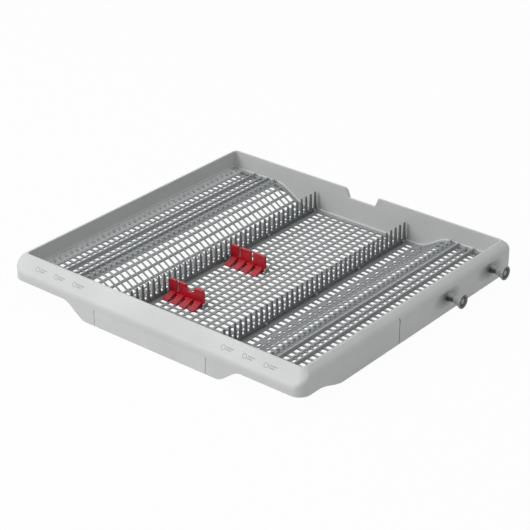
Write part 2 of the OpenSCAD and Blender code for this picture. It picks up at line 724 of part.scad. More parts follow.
// Outline points of a blade slit and of a round open notch, from right to left
function slit_points(x) = [[x + slit_w/2, holder_h], [x + slit_w/2, holder_h - slit_h],
    [x - slit_w/2, holder_h - slit_h], [x - slit_w/2, holder_h]];
function notch_points(x) = let(r = notch_w/2)
    concat([[x + r, holder_h]], arc(x, holder_h - holder_notch_h + r, r, 0, -180, 2*corner_steps), [[x - r, holder_h]]);

// Plate with a barrel round its pin and wedge feet that rest on the floor in front
module knife_holder(y, open_points) {
    bevel = 1.5;
    floor_gap = 0.3;
    toe_h = 2;
    foot_z = floor_gap - holder_rise;
    foot_in = -1;
    outline = concat([[0, 0], [holder_w, 0], [holder_w, holder_h - bevel], [holder_w - bevel, holder_h]],
        open_points, slit_points(slit_x), [[bevel, holder_h], [0, holder_h - bevel]]);
    color(red_plastic) translate([holder_x, y, pivot_z]) difference() {
        union() {
            rotate([0, 90, 0]) cylinder(h = holder_w, r = barrel_r);
            translate([0, holder_t/2, 0]) rotate([90, 0, 0]) linear_extrude(holder_t) polygon(outline);
            for (i = [0:foot_n - 1]) translate([(i + 0.5)*holder_w/foot_n - foot_w/2, 0, 0])
                rotate([90, 0, 90]) linear_extrude(foot_w)
                    polygon([[foot_in, foot_z], [foot_in, foot_h], [-holder_t/2, foot_h],
                        [-holder_t/2 - foot_len, foot_z + toe_h], [-holder_t/2 - foot_len, foot_z]]);
        }
        translate([-past, 0, 0]) rotate([0, 90, 0]) cylinder(h = holder_w + 2*past, r = pin_r + running_gap);
    }
}

module front_knife_holder() { knife_holder(front_holder_y, notch_points(notch_x)); }
module rear_knife_holder() { knife_holder(rear_holder_y, slit_points(notch_x)); }

tray_frame();
front_grip();
trough_floor();
left_slope();
right_slope();
left_shelf();
right_shelf();
left_roller_carrier();
right_roller_carrier();
left_front_axle();
left_rear_axle();
right_front_axle();
right_rear_axle();
axle_push_nuts();
left_tine_clips();
right_tine_clips();
front_holder_bracket();
rear_holder_bracket();
front_holder_pin();
rear_holder_pin();
left_tine_rod();
right_tine_rod();
left_tines();
right_tines();
front_knife_holder();
rear_knife_holder();
left_front_roller();
left_rear_roller();
right_front_roller();
right_rear_roller();
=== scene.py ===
import logging
import math
from collections.abc import Callable
from dataclasses import dataclass, field
from enum import Enum

import bmesh
import bpy
from mathutils import Matrix, Vector


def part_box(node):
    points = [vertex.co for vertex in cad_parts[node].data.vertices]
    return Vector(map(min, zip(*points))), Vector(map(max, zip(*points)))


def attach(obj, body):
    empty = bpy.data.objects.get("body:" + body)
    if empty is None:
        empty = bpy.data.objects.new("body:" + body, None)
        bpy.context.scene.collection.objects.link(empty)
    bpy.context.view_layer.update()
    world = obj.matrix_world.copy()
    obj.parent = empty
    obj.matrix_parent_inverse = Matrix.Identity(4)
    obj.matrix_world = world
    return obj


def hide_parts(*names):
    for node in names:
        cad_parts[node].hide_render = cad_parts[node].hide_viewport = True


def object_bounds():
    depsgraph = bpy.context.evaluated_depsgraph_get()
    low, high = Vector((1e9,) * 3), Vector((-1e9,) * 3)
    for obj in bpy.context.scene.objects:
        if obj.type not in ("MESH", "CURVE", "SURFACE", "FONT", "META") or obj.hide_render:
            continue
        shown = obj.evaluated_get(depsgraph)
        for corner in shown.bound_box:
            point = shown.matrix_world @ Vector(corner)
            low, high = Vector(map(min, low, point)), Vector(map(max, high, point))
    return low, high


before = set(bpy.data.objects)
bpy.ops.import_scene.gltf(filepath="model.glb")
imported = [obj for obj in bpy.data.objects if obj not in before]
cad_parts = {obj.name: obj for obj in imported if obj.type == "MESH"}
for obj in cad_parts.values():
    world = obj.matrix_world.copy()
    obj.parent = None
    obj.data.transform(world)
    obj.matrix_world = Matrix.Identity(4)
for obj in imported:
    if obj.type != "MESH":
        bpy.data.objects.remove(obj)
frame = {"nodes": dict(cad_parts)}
CAD_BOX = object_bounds()
LOG = logging.getLogger("cutlery_tray")
Colour = tuple[float, float, float]
Socket = bpy.types.NodeSocket
MM = 0.001
NEAR = 0.1 * MM


class Slot(Enum):
    """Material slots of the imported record."""

    FRAME = "frame_plastic"
    FLOOR = "floor_plastic"
    TINE = "tine_plastic"
    ROLLER = "roller_plastic"
    HOLDER = "holder_plastic"
    STEEL = "pin_steel"


class Side(Enum):
    """The two sides of the tray, as the CAD nodes name them."""

    LEFT = "left"
    RIGHT = "right"


class End(Enum):
    """The two ends of the tray, as the CAD nodes name them."""

    FRONT = "front"
    REAR = "rear"


def linear(red: int, green: int, blue: int) -> Colour:
    """Turn a screen colour into the linear one that shaders take.

    Args:
        red: Red from 0 to 255.
        green: Green from 0 to 255.
        blue: Blue from 0 to 255.

    Returns:
        The three linear values.
    """
    shares = [value / 255 for value in (red, green, blue)]
    return tuple(s / 12.92 if s <= 0.04045 else ((s + 0.055) / 1.055) ** 2.4 for s in shares)


def select_only(*pieces: bpy.types.Object) -> None:
    """Select objects, make the first active and deselect all others.

    Args:
        *pieces: The objects that the next operators act on.
    """
    bpy.ops.object.select_all(action="DESELECT")
    for piece in pieces:
        piece.select_set(True)
    bpy.context.view_layer.objects.active = pieces[0]


def pick_points(piece: bpy.types.Object, wanted: Callable[[Vector], bool]) -> None:
    """In edit mode, select the points whose place passes a test.

    Args:
        piece: The object in edit mode.
        wanted: The test that a point's place is given to.
    """
    bpy.ops.mesh.select_mode(type="VERT")
    bpy.ops.mesh.select_all(action="DESELECT")
    shape = bmesh.from_edit_mesh(piece.data)
    for point in shape.verts:
        point.select_set(wanted(point.co))
    shape.select_flush(True)
    bmesh.update_edit_mesh(piece.data)


def apply_modifier(piece: bpy.types.Object, kind: str, **settings: object) -> None:
    """Add a modifier to an object and apply it.

    Args:
        piece: The object.
        kind: The modifier's type.
        **settings: The modifier's settings.
    """
    select_only(piece)
    modifier = piece.modifiers.new(kind.lower(), kind)
    for name, value in settings.items():
        setattr(modifier, name, value)
    bpy.ops.object.modifier_apply(modifier=modifier.name)


def settle(piece: bpy.types.Object) -> None:
    """Put an object's place, turn and size into its mesh."""
    select_only(piece)
    bpy.ops.object.transform_apply(location=True, rotation=True, scale=True)


def smooth(piece: bpy.types.Object, sharper_than: float = 40.0) -> None:
    """Shade an object smoothly between its sharp edges.

    Args:
        piece: The object.
        sharper_than: Angle in degrees over which an edge stays sharp.
    """
    select_only(piece)
    bpy.ops.object.shade_smooth_by_angle(angle=math.radians(sharper_than))
    apply_modifier(piece, "WEIGHTED_NORMAL", keep_sharp=True)


def stand_for(piece: bpy.types.Object, body: str, slot: Slot, *nodes: str) -> None:
    """Let a finished piece ride on a body and stand for CAD nodes.

    Args:
        piece: The finished piece.
        body: The body that carries it.
        slot: Its material slot; not used.
        *nodes: The CAD nodes that it replaces.
    """
    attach(piece, body)
    if nodes:
        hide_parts(*nodes)


def dress(pieces: list[bpy.types.Object], material: bpy.types.Material) -> None:
    """Give pieces one material.

    Args:
        pieces: The pieces to dress.
        material: The material that fills their only slot.
    """
    for piece in pieces:
        piece.data.materials.clear()
        piece.data.materials.append(material)


class NodeGraph:
    """Short calls for a shader's node tree."""

    def __init__(self, tree: bpy.types.NodeTree) -> None:
        """Empty the tree and keep it."""
        self.tree = tree
        self.tree.nodes.clear()

    def node(self, kind: str, **inputs: object) -> bpy.types.Node:
        """Add a node.

        Args:
            kind: The node's type, without its ShaderNode prefix.
            **inputs: Values or output sockets for its inputs, with _ for a space.

        Returns:
            The new node.
        """
        made = self.tree.nodes.new(f"ShaderNode{kind}")
        for key, value in inputs.items():
            self.feed(made.inputs[key.replace("_", " ")], value)
        return made

    def feed(self, socket: Socket, value: object) -> None:
        """Link an output socket to an input, or set the input's own value."""
        if isinstance(value, Socket):
            self.tree.links.new(value, socket)
        else:
            socket.default_value = value

    def maths(self, kind: str, operation: str, *values: object) -> bpy.types.Node:
        """Add a Math or VectorMath node.

        Args:
            kind: The node's type.
            operation: What it works out.
            *values: Values or sockets for its inputs, in order.

        Returns:
            The new node.
        """
        made = self.node(kind)
        made.operation = operation
        for place, value in enumerate(values):
            self.feed(made.inputs[place], value)
        return made

    def number(self, operation: str, *values: object) -> Socket:
        """Work out a number from values or sockets with a Math node."""
        return self.maths("Math", operation, *values).outputs["Value"]

    def part(self, vector: Socket, axis: str) -> Socket:
        """Take one axis of a vector."""
        return self.node("SeparateXYZ", Vector=vector).outputs[axis]

    def upward(self) -> Socket:
        """Tell how far a surface faces up, from -1 to 1."""
        return self.part(self.node("TexCoord").outputs["Normal"], "Z")

    def mix(self, share: object, first: object, second: object) -> Socket:
        """Mix two colours.

        Args:
            share: Share of the second colour, a value or a socket.
            first: The first colour, or a socket.
            second: The second colour, or a socket.

        Returns:
            The mixed colour's socket.
        """
        made = self.node("Mix")
        made.data_type = "RGBA"
        self.feed(made.inputs["Factor"], share)
        for name, value in (("A", first), ("B", second)):
            socket = next(s for s in made.inputs if s.name == name and s.type == "RGBA")
            self.feed(socket, value if isinstance(value, Socket) else (*value, 1.0))
        return next(s for s in made.outputs if s.type == "RGBA")

    def span(self, value: Socket, low: float, high: float, to: tuple[float, float]) -> Socket:
        """Map a value from one span to another.

        Args:
            value: The socket to map.
            low: Start of the span that it comes from.
            high: End of that span.
            to: The span that it goes to.

        Returns:
            The mapped value's socket.
        """
        made = self.node("MapRange", Value=value, From_Min=low, From_Max=high, To_Min=to[0], To_Max=to[1])
        return made.outputs["Result"]


@dataclass(frozen=True)
class MouldedPlastic:
    """Injection-moulded plastic: faint clouding from the melt, a fine tool grain and paler worn edges."""

    name: str
    colour: Colour
    cloud: Colour
    worn: Colour
    roughness: float
    grain_depth: float
    worn_share: float = 0.3
    worn_from: float = 0.5
    worn_at: float = 0.6
    cloud_scale: float = 16.0
    cloud_span: tuple[float, float] = (0.3, 0.7)
    rough_change: float = 0.05
    grain_scale: float = 1500.0
    grain_strength: float = 0.35
    ior: float = 1.49

    def material(self) -> bpy.types.Material:
        """Build the plastic's material.

        Returns:
            The material, on object coordinates.
        """
        made = bpy.data.materials.new(self.name)
        made.use_nodes = True
        graph = NodeGraph(made.node_tree)
        place = graph.node("TexCoord").outputs["Object"]
        cloud = graph.node("TexNoise", Vector=place, Scale=self.cloud_scale, Detail=3.0).outputs["Fac"]
        grain = graph.node("TexNoise", Vector=place, Scale=self.grain_scale, Detail=1.0).outputs["Fac"]
        pointed = graph.node("NewGeometry").outputs["Pointiness"]
        edge = graph.span(pointed, self.worn_from, self.worn_at, (0.0, self.worn_share))
        body = graph.mix(graph.span(cloud, *self.cloud_span, (0.0, 1.0)), self.colour, self.cloud)
        tinted = self.tint(graph, place, graph.mix(edge, body, self.worn))
        dull_span = (self.roughness - self.rough_change, self.roughness + self.rough_change)
        bump = graph.node("Bump", Height=grain, Strength=self.grain_strength, Distance=self.grain_depth)
        shader = graph.node("BsdfPrincipled", Base_Color=tinted, IOR=self.ior, Normal=bump.outputs["Normal"],
                            Roughness=graph.span(cloud, *self.cloud_span, dull_span))
        graph.node("OutputMaterial", Surface=shader.outputs["BSDF"])
        return made

    def varied(self, kind: type["MouldedPlastic"], name: str, **more: object) -> "MouldedPlastic":
        """Make a plastic of another kind with the same colours.

        Args:
            kind: The other kind.
            name: The new plastic's name.
            **more: What that kind adds.

        Returns:
            The new plastic.
        """
        return kind(**{**vars(self), "name": name, **more})

    def tint(self, graph: NodeGraph, place: Socket, colour: Socket) -> Socket:
        """Leave the colour as it is."""
        return colour


@dataclass(frozen=True)
class SeamShadePlastic(MouldedPlastic):
    """Plastic with a dark split line, painted as the shade in the seam's groove, that carries each side
    wall's seam on up to its shoulder.
    """

    seam: float = 0.0
    low: float = 0.0
    outside: float = 0.0
    rise: float = 4.5 * MM
    width: float = 1.3 * MM
    fade: float = 0.4 * MM
    top_fade: float = 1.6 * MM
    # painted shade colour of the seam's groove
    line: Colour = linear(66, 70, 69)

    def tint(self, graph: NodeGraph, place: Socket, colour: Socket) -> Socket:
        """Paint the split line's shade, which lies on the outer faces over the seam.

        Args:
            graph: The material's node tree.
            place: The object coordinates.
            colour: The colour to darken.

        Returns:
            The darkened colour's socket.
        """
        across = graph.number("ABSOLUTE", graph.part(place, "X"))
        away = graph.number("ABSOLUTE", graph.number("SUBTRACT", graph.part(place, "Y"), self.seam))
        up = graph.part(place, "Z")
        top = self.low + self.rise
        share = graph.span(away, self.width / 2, self.width / 2 + self.fade, (1.0, 0.0))
        for other in (graph.span(across, self.outside, self.outside + self.fade, (0.0, 1.0)),
                      graph.span(up, self.low - self.fade, self.low, (0.0, 1.0)),
                      graph.span(up, top, top + self.top_fade, (1.0, 0.0))):
            share = graph.number("MULTIPLY", share, other)
        return graph.mix(share, colour, self.line)


@dataclass(frozen=True)
class ShadowPaintedPlastic(MouldedPlastic):
    """Plastic with painted shade on the stalks' undersides, and a soft painted shadow on the wall round each
    roller's stalk.
    """

    centres: tuple[tuple[float, float], ...] = ()
    wall_face: float = 0.0
    # painted shadow colour on the wall round each centre
    halo: Colour = linear(44, 48, 47)
    # painted shade colour for the stalks, darkest on their undersides
    stalk: Colour = linear(40, 44, 43)
    full_within: float = 5 * MM
    gone_beyond: float = 33 * MM
    flatness: float = 2.3
    depth: float = 0.75
    dark_from: float = 0.2 * MM
    dark_at: float = 2 * MM
    lit_above: float = 0.25
    lit_full_at: float = 0.85
    lit_share: float = 0.2

    def tint(self, graph: NodeGraph, place: Socket, colour: Socket) -> Socket:
        """Paint shadow round each centre, measured in Y and Z, and paint shade beyond the wall's face, most
        of all on faces that look down.

        Args:
            graph: The material's node tree.
            place: The object coordinates.
            colour: The colour to darken.

        Returns:
            The darkened colour's socket.
        """
        # painted shadow: darker the nearer a point lies to a centre
        for y, z in self.centres:
            away = graph.maths("VectorMath", "SUBTRACT", place, (0.0, y, z)).outputs["Vector"]
            flat = graph.maths("VectorMath", "MULTIPLY", away, (0.0, 1.0, self.flatness)).outputs["Vector"]
            reach = graph.maths("VectorMath", "LENGTH", flat).outputs["Value"]
            share = graph.span(reach, self.full_within, self.gone_beyond, (self.depth, 0.0))
            colour = graph.mix(share, colour, self.halo)
        # painted shade on the stalks beyond the wall's face; faces that look up keep more of the plastic's
        # colour
        beyond = graph.number("ABSOLUTE", graph.part(place, "X"))
        out = graph.span(beyond, self.wall_face + self.dark_from, self.wall_face + self.dark_at, (0.0, 1.0))
        under = graph.span(graph.upward(), self.lit_above, self.lit_full_at, (1.0, self.lit_share))
        return graph.mix(graph.number("MULTIPLY", out, under), colour, self.stalk)


@dataclass(frozen=True)
class PaintedLightShelfPlastic(MouldedPlastic):
    """Plastic with painted light towards the fins along the walls, most of all on the slot walls between
    them.
    """

    # painted light colours: pale for faces that look up, near white for the slot walls between the fins
    pale: Colour = linear(190, 194, 194)
    slot_wall: Colour = linear(238, 240, 240)
    pale_from: float = 0.0
    pale_at: float = 0.0
    wall_below: float = 0.2
    top_above: float = 0.7

    def tint(self, graph: NodeGraph, place: Socket, colour: Socket) -> Socket:
        """Paint light on the colour beside the walls.

        Args:
            graph: The material's node tree.
            place: The object coordinates.
            colour: The colour to lighten.

        Returns:
            The lightened colour's socket.
        """
        # painted light beside the walls, strongest on steep faces
        beyond = graph.number("ABSOLUTE", graph.part(place, "X"))
        steep = graph.span(graph.upward(), self.wall_below, self.top_above, (1.0, 0.0))
        pale = graph.mix(steep, self.pale, self.slot_wall)
        return graph.mix(graph.span(beyond, self.pale_from, self.pale_at, (0.0, 1.0)), colour, pale)


@dataclass(frozen=True)
class ShadedFaceRollerPlastic(MouldedPlastic):
    """Plastic with painted shade on the faces that look along X, away from the lamps."""

    # painted shade colour for the faces that look along X
    rubbed: Colour = linear(56, 60, 59)
    rubbed_share: float = 0.85
    rubbed_from: float = 0.6
    rubbed_at: float = 0.95

    def tint(self, graph: NodeGraph, place: Socket, colour: Socket) -> Socket:
        """Paint shade on the faces that look along X.

        Args:
            graph: The material's node tree.
            place: The object coordinates, which aren't used.
            colour: The colour to darken.

        Returns:
            The darkened colour's socket.
        """
        # painted shade: the more a face looks along X, the darker
        facing = graph.number("ABSOLUTE", graph.part(graph.node("TexCoord").outputs["Normal"], "X"))
        share = graph.span(facing, self.rubbed_from, self.rubbed_at, (0.0, self.rubbed_share))
        return graph.mix(share, colour, self.rubbed)


@dataclass(frozen=True)
class DrawnSteel:
    """Dull drawn steel wire with fine marks along X, the pins' axis."""

    name: str
    colour: Colour
    dull: Colour
    roughness: float
    rough_change: float = 0.08
    stretch: float = 40.0
    scale: float = 60.0
    mark_span: tuple[float, float] = (0.3, 0.7)

    def material(self) -> bpy.types.Material:
        """Build the steel's material.

        Returns:
            The material, on object coordinates.
        """
        made = bpy.data.materials.new(self.name)
        made.use_nodes = True
        graph = NodeGraph(made.node_tree)
        place = graph.node("TexCoord").outputs["Object"]
        drawn = graph.node("Mapping", Vector=place, Scale=(1.0, self.stretch, self.stretch))
        noise = graph.node("TexNoise", Vector=drawn.outputs["Vector"], Scale=self.scale, Detail=3.0)
        marks = noise.outputs["Fac"]
        dull_span = (self.roughness - self.rough_change, self.roughness + self.rough_change)
        shader = graph.node("BsdfPrincipled", Base_Color=graph.mix(marks, self.colour, self.dull),
                            Metallic=1.0, Roughness=graph.span(marks, *self.mark_span, dull_span))
        graph.node("OutputMaterial", Surface=shader.outputs["BSDF"])
        return made


@dataclass(frozen=True)
class Finishes:
    """The tray's finishes."""

    frame: MouldedPlastic = MouldedPlastic("light_grey_plastic", linear(204, 206, 205), linear(198, 200, 199),
                                           linear(222, 224, 223), 0.48, 0.00006)
    # the frame's grey painted darker: painted shade for the slats' shaded sides
    floor: MouldedPlastic = MouldedPlastic("slat_grey_plastic", linear(154, 157, 158), linear(147, 150, 151),
                                           linear(184, 187, 188), 0.42, 0.00004)
    # the frame's grey painted darker still: painted shade for the tines seen edge-on
    tine: MouldedPlastic = MouldedPlastic("tine_grey_plastic", linear(101, 105, 106), linear(93, 97, 98),
                                          linear(138, 142, 143), 0.38, 0.00003)
    roller: ShadedFaceRollerPlastic = ShadedFaceRollerPlastic("roller_grey_plastic", linear(148, 151, 151), linear(140, 144, 144),
                                          linear(177, 180, 179), 0.36, 0.00003)
    holder: MouldedPlastic = MouldedPlastic("red_plastic", linear(174, 12, 32), linear(162, 8, 27),
                                            linear(216, 48, 62), 0.3, 0.00002)
    mark: MouldedPlastic = MouldedPlastic("mark_grey_print", linear(150, 154, 153), linear(160, 164, 163),
                                          linear(170, 174, 172), 0.55, 0.00003)
    steel: DrawnSteel = DrawnSteel("dull_steel", linear(142, 144, 145), linear(112, 115, 117), 0.5)


@dataclass
class Moulding:
    """A CAD node shown as a copy with rounded edges, as it leaves the mould."""

    node: str
    body: str
    slot: Slot
    radius: float
    segments: int = 2
    sharper_than: float = 28.0
    merge: float = 0.004 * MM
    flat_within: float = 0.3

    def build(self) -> bpy.types.Object:
        """Copy the node's mesh, close it, round its edges and let the copy stand for the node.

        Returns:
            The finished piece, riding on its body.
        """
        mesh = frame["nodes"][self.node].data.copy()
        mesh.materials.clear()
        piece = bpy.data.objects.new(f"{self.node}_moulding", mesh)
        bpy.context.scene.collection.objects.link(piece)
        select_only(piece)
        bpy.ops.mesh.customdata_custom_splitnormals_clear()
        bpy.ops.object.mode_set(mode="EDIT")
        bpy.ops.mesh.select_all(action="SELECT")
        bpy.ops.mesh.remove_doubles(threshold=self.merge)
        bpy.ops.mesh.dissolve_limited(angle_limit=math.radians(self.flat_within))
        bpy.ops.object.mode_set(mode="OBJECT")
        self.alter(piece)
        self.weigh_edges(piece)
        apply_modifier(piece, "BEVEL", width=self.radius, segments=self.segments, limit_method="WEIGHT")
        smooth(piece)
        stand_for(piece, self.body, self.slot, self.node)
        return piece

    def alter(self, piece: bpy.types.Object) -> None:
        """Leave the closed copy as it is."""

    def weigh_edges(self, piece: bpy.types.Object) -> None:
        """Weigh each sharp outer edge by the share of the radius that it is rounded with."""
        shape = bmesh.new()
        shape.from_mesh(piece.data)
        layer = shape.edges.layers.float.new("bevel_weight_edge")
        bend = math.radians(self.sharper_than)
        for edge in shape.edges:
            if edge.is_manifold and edge.is_convex and edge.calc_face_angle() > bend:
                start, end = (point.co for point in edge.verts)
                edge[layer] = self.share_at((start + end) / 2, (end - start).normalized())
        shape.to_mesh(piece.data)
        shape.free()

    def share_at(self, place: Vector, along: Vector) -> float:
        """Round every edge in full."""
        return 1.0


def is_upright(along: Vector, least: float = 0.9) -> bool:
    """Tell whether an edge runs up the wall.

    Args:
        along: The edge's direction, of length 1.
        least: The least that it rises.

    Returns:
        Whether it rises at least that much.
    """
    return abs(along.z) > least


@dataclass
class WallRing(Moulding):
    """The wall ring, with a round rim, and crisp edges where other pieces meet it."""

    rim_above: float = 39 * MM
    carrier_top: float = 0.0
    seam_share: float = 0.3
    rest_share: float = 0.2

    def share_at(self, place: Vector, along: Vector) -> float:
        """Round the rim in full, upright seams so that they show, and the rest a little.

        Args:
            place: The middle of an edge.
            along: The edge's direction.

        Returns:
            The share of the radius.
        """
        if place.z > self.rim_above and abs(place.z - self.carrier_top) > 2 * NEAR:
            return 1.0
        return self.seam_share if is_upright(along) else self.rest_share


@dataclass
class WallStrip(Moulding):
    """A strip that closes the wall ring, with open upright seams."""

    face_axis: int = 0
    face: float = 0.0
    both_ends: bool = False
    seam_gap: float = 0.35 * MM
    rest_share: float = 0.35

    def alter(self, piece: bpy.types.Object) -> None:
        """Draw the strip's ends back from its neighbours, so that the seams show."""
        run = 1 - self.face_axis
        points = [point.co for point in piece.data.vertices]
        outer = [place[run] for place in points if abs(abs(place[self.face_axis]) - self.face) < NEAR]
        seams = [(min(outer), self.seam_gap)]
        if self.both_ends:
            seams.append((max(outer), -self.seam_gap))
        for place in points:
            for seam, step in seams:
                if abs(place[run] - seam) < NEAR / 2:
                    place[run] += step

    def share_at(self, place: Vector, along: Vector) -> float:
        """Round upright edges in full and the rest a little.

        Args:
            place: The middle of an edge; not used.
            along: The edge's direction.

        Returns:
            The share of the radius.
        """
        return 1.0 if is_upright(along) else self.rest_share


@dataclass
class TrayWalls:
    """The wall ring with the strips that close it: the front grip and the roller carriers."""

    finish: MouldedPlastic
    ring_radius: float = 1.0 * MM
    strip_radius: float = 0.3 * MM
    carrier_gap: float = 1.3 * MM
    shoulder_depth: float = 6 * MM
    # how far the painted shadow's centre lies in front of and below each axle
    halo_forward: float = 2 * MM
    halo_below: float = 1 * MM

    def build(self) -> list[bpy.types.Object]:
        """Model and dress the walls.

        Returns:
            The wall pieces.
        """
        low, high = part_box("tray_frame")
        carrier_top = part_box("right_roller_carrier")[1].z
        made = [
            WallRing("tray_frame", "tray", Slot.FRAME, self.ring_radius, 3, carrier_top=carrier_top).build(),
            WallStrip("front_grip", "tray", Slot.FRAME, self.strip_radius, face_axis=1, face=-low.y,
                      both_ends=True).build(),
        ]
        dress(made, self.ring_finish(carrier_top, high.x).material())
        for side in Side:
            carrier = WallStrip(f"{side.value}_roller_carrier", "tray", Slot.FRAME, self.strip_radius,
                                face=high.x, seam_gap=self.carrier_gap).build()
            dress([carrier], self.carrier_finish(side, high.x).material())
            made.append(carrier)
        return made

    def ring_finish(self, carrier_top: float, face: float) -> MouldedPlastic:
        """Make the ring's finish, with the seam shade painted along split lines over the carriers' seams.

        Args:
            carrier_top: Height of the carriers' upper edge.
            face: How far out the wall's face lies.

        Returns:
            The finish.
        """
        points = [point.co for point in frame["nodes"]["right_roller_carrier"].data.vertices]
        seam = min(place.y for place in points if abs(place.x - face) < NEAR) + self.carrier_gap / 2
        return self.finish.varied(SeamShadePlastic, "ring_plastic", seam=seam, low=carrier_top,
                                  outside=face - self.shoulder_depth)

    def carrier_finish(self, side: Side, face: float) -> MouldedPlastic:
        """Make a carrier's finish, with a painted shadow a little in front of each axle and below it.

        Args:
            side: The carrier's side.
            face: How far out the wall's face lies.

        Returns:
            The finish.
        """
        middles = [sum(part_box(f"{side.value}_{end.value}_axle"), Vector()) / 2 for end in End]
        centres = tuple((middle.y - self.halo_forward, middle.z - self.halo_below) for middle in middles)
        return self.finish.varied(ShadowPaintedPlastic, f"{side.value}_carrier_plastic", centres=centres,
                                  wall_face=face)


@dataclass
class PanelMarks:
    """The raised marks on the leaning front panel: a plain ring and two bars each."""

    finish: MouldedPlastic
    panel: str = "tray_frame_moulding"
    across: tuple[float, ...] = (-196 * MM, -162 * MM, -128 * MM, 128 * MM, 162 * MM, 196 * MM)
    height: float = 44 * MM
    relief: float = 0.3 * MM
    ring_radius: float = 3.4 * MM
    ring_line: float = 0.8 * MM
    bars: tuple[tuple[float, float], ...] = ((11 * MM, 1.6 * MM), (7.5 * MM, -1.4 * MM))
    bar_height: float = 1.3 * MM
    bar_start: float = -4.5 * MM
    bar_rounding: float = 0.12 * MM
    ring_place: float = -9.5 * MM
    ring_sink: float = 1.2
    ray_start: float = 100 * MM

    def build(self) -> list[bpy.types.Object]:
        """Model one mark and set a copy at each place on the panel.

        Returns:
            The marks, as one piece.
        """
        pattern = self.model_mark()
        copies = []
        for x in self.across:
            mesh = pattern.data.copy()
            mesh.transform(self.place_on_panel(x))
            copy = bpy.data.objects.new("front_panel_marks", mesh)
            bpy.context.scene.collection.objects.link(copy)
            copies.append(copy)
        bpy.data.objects.remove(pattern)
        select_only(*copies)
        bpy.ops.object.join()
        marks = bpy.context.object
        smooth(marks)
        stand_for(marks, "tray", Slot.FRAME)
        dress([marks], self.finish.material())
        return [marks]

    def model_mark(self) -> bpy.types.Object:
        """Model a mark flat at the origin.

        Returns:
            The mark, with its face up.
        """
        bpy.ops.mesh.primitive_cylinder_add(vertices=28, radius=self.ring_radius, depth=2 * self.relief,
                                            location=(self.ring_place, 0, 0))
        ring = bpy.context.object
        settle(ring)
        bpy.ops.object.mode_set(mode="EDIT")
        pick_points(ring, lambda place: place.z > 0)
        bpy.ops.mesh.inset(thickness=self.ring_line)
        bpy.ops.transform.translate(value=(0, 0, -self.ring_sink * self.relief))
        bpy.ops.object.mode_set(mode="OBJECT")
        parts = [ring]
        for length, up in self.bars:
            bpy.ops.mesh.primitive_cube_add(size=1, location=(self.bar_start + length / 2, up, 0),
                                            scale=(length, self.bar_height, 2 * self.relief))
            bar = bpy.context.object
            settle(bar)
            apply_modifier(bar, "BEVEL", width=self.bar_rounding, segments=2)
            parts.append(bar)
        select_only(*parts)
        bpy.ops.object.join()
        return ring

    def place_on_panel(self, x: float) -> Matrix:
        """Find the panel's surface and turn a mark to lie on it.

        Args:
            x: How far across the mark sits.

        Returns:
            The move from the origin to the panel.
        """
        panel = bpy.data.objects[self.panel]
        bpy.context.view_layer.update()
        start = Vector((x, CAD_BOX[0].y - self.ray_start, self.height))
        _, place, normal, _ = panel.ray_cast(start, Vector((0, 1, 0)))
        lean = math.atan2(-normal.y, normal.z)
        return Matrix.Translation(place) @ Matrix.Rotation(lean, 4, "X")


@dataclass
class WallBeads:
    """The round beads inside the walls: one along each side over the fins, one at each end of the floor."""

    finish: MouldedPlastic
    floor_radius: float = 1.5 * MM
    side_radius: float = 1.1 * MM
    seat: float = 0.25 * MM
    rise: float = 0.6 * MM
    corner: float = 6 * MM
    fin_depth: float = 1 * MM
    steps: int = 60

    def build(self) -> list[bpy.types.Object]:
        """Model and dress the beads.

        Returns:
            The beads.
        """
        low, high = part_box("left_shelf")[0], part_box("right_shelf")[1]
        reach = high.x + self.seat
        made = []
        for end, y in ((End.FRONT, low.y - self.seat), (End.REAR, high.y + self.seat)):
            places = [(step / self.steps - 0.5) * 2 * (reach - self.corner) for step in range(self.steps + 1)]
            path = [Vector((x, y, self.floor_height(x) + self.rise)) for x in places]
            made.append(self.run_bead(f"{end.value}_floor_bead", path, self.floor_radius))
        fins_top = max(point.co.z for point in frame["nodes"]["right_shelf"].data.vertices
                       if point.co.x > high.x - self.fin_depth)
        for side, sign in ((Side.LEFT, -1), (Side.RIGHT, 1)):
            path = [Vector((sign * reach, y, fins_top + self.rise))
                    for y in (low.y + self.corner, high.y - self.corner)]
            made.append(self.run_bead(f"{side.value}_wall_bead", path, self.side_radius))
        dress(made, self.finish.material())
        return made

    def floor_height(self, x: float) -> float:
        """Work out the floor's height across the tray.

        Args:
            x: How far across.

        Returns:
            The height of the trough, the curved slope or the shelf.
        """
        low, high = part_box("right_slope")
        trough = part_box("trough_floor")[1].z
        share = min(1.0, max(0.0, (abs(x) - low.x) / (high.x - low.x)))
        return trough + (high.z - trough) * share * share * (3 - 2 * share)

    def run_bead(self, name: str, path: list[Vector], radius: float) -> bpy.types.Object:
        """Run a round bead along a path.

        Args:
            name: The bead's name.
            path: The points that it runs through.
            radius: Its radius.

        Returns:
            The bead, as a mesh that rides on the tray.
        """
        curve = bpy.data.curves.new(name, "CURVE")
        curve.dimensions = "3D"
        curve.bevel_depth = radius
        curve.bevel_resolution = 3
        curve.use_fill_caps = True
        line = curve.splines.new("POLY")
        line.points.add(len(path) - 1)
        for point, place in zip(line.points, path):
            point.co = (*place, 1.0)
        bead = bpy.data.objects.new(name, curve)
        bpy.context.scene.collection.objects.link(bead)
        select_only(bead)
        bpy.ops.object.convert(target="MESH")
        bead = bpy.context.object
        smooth(bead)
        stand_for(bead, "tray", Slot.FRAME)
        return bead


